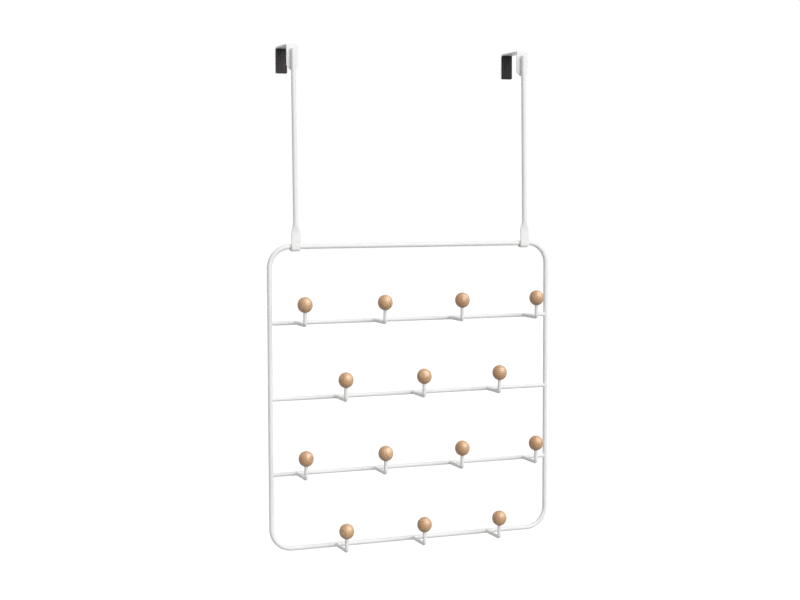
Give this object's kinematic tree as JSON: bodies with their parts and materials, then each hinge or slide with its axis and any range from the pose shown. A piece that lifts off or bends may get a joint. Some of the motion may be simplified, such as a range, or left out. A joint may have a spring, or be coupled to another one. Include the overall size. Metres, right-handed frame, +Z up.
{
  "type": "over-the-door hook rack",
  "caption": "White wire frame with staggered rows of wooden ball-tipped coat hooks, hung on two rods from padded straps that sit over a door's top edge.",
  "frame": {"origin": "on the door's top edge at its front face, midway between the two hangers", "axes": "+X along the door, +Y through the door from its front to its back, +Z up; the rack hangs down the front at -Y"},
  "size_m": [0.4064, 0.1106, 0.6667],
  "materials": {
    "powder_coat": "smooth white powder coat, semi-gloss",
    "foam": "matte black ribbed foam",
    "beech": "smooth light beech, clear satin varnish"
  },
  "bodies": {
    "left_hanger": {"left_strap": "powder_coat", "left_pad": "foam", "left_rod": "powder_coat"},
    "right_hanger": {"right_strap": "powder_coat", "right_pad": "foam", "right_rod": "powder_coat"},
    "frame": {"frame_ring": "powder_coat", "crossbar_1": "powder_coat", "crossbar_2": "powder_coat", "crossbar_3": "powder_coat", "hook_row1_1": "powder_coat", "hook_row1_2": "powder_coat", "hook_row1_3": "powder_coat", "hook_row1_4": "powder_coat", "hook_row2_1": "powder_coat", "hook_row2_2": "powder_coat", "hook_row2_3": "powder_coat", "hook_row3_1": "powder_coat", "hook_row3_2": "powder_coat", "hook_row3_3": "powder_coat", "hook_row3_4": "powder_coat", "hook_row4_1": "powder_coat", "hook_row4_2": "powder_coat", "hook_row4_3": "powder_coat", "ball_row1_1": "beech", "ball_row1_2": "beech", "ball_row1_3": "beech", "ball_row1_4": "beech", "ball_row2_1": "beech", "ball_row2_2": "beech", "ball_row2_3": "beech", "ball_row3_1": "beech", "ball_row3_2": "beech", "ball_row3_3": "beech", "ball_row3_4": "beech", "ball_row4_1": "beech", "ball_row4_2": "beech", "ball_row4_3": "beech"}
  },
  "joints": [
    {"name": "frame_swing", "type": "hinge", "parent": "left_hanger", "child": "frame", "pos_m": [0, -0.0064, -0.2615], "axis": [-1, 0, 0], "range_deg": [0, 135]},
    {"name": "right_hanger_slide", "type": "slide", "parent": "left_hanger", "child": "right_hanger", "axis": [1, 0, 0], "range_m": [-0.31, 0]}
  ]
}
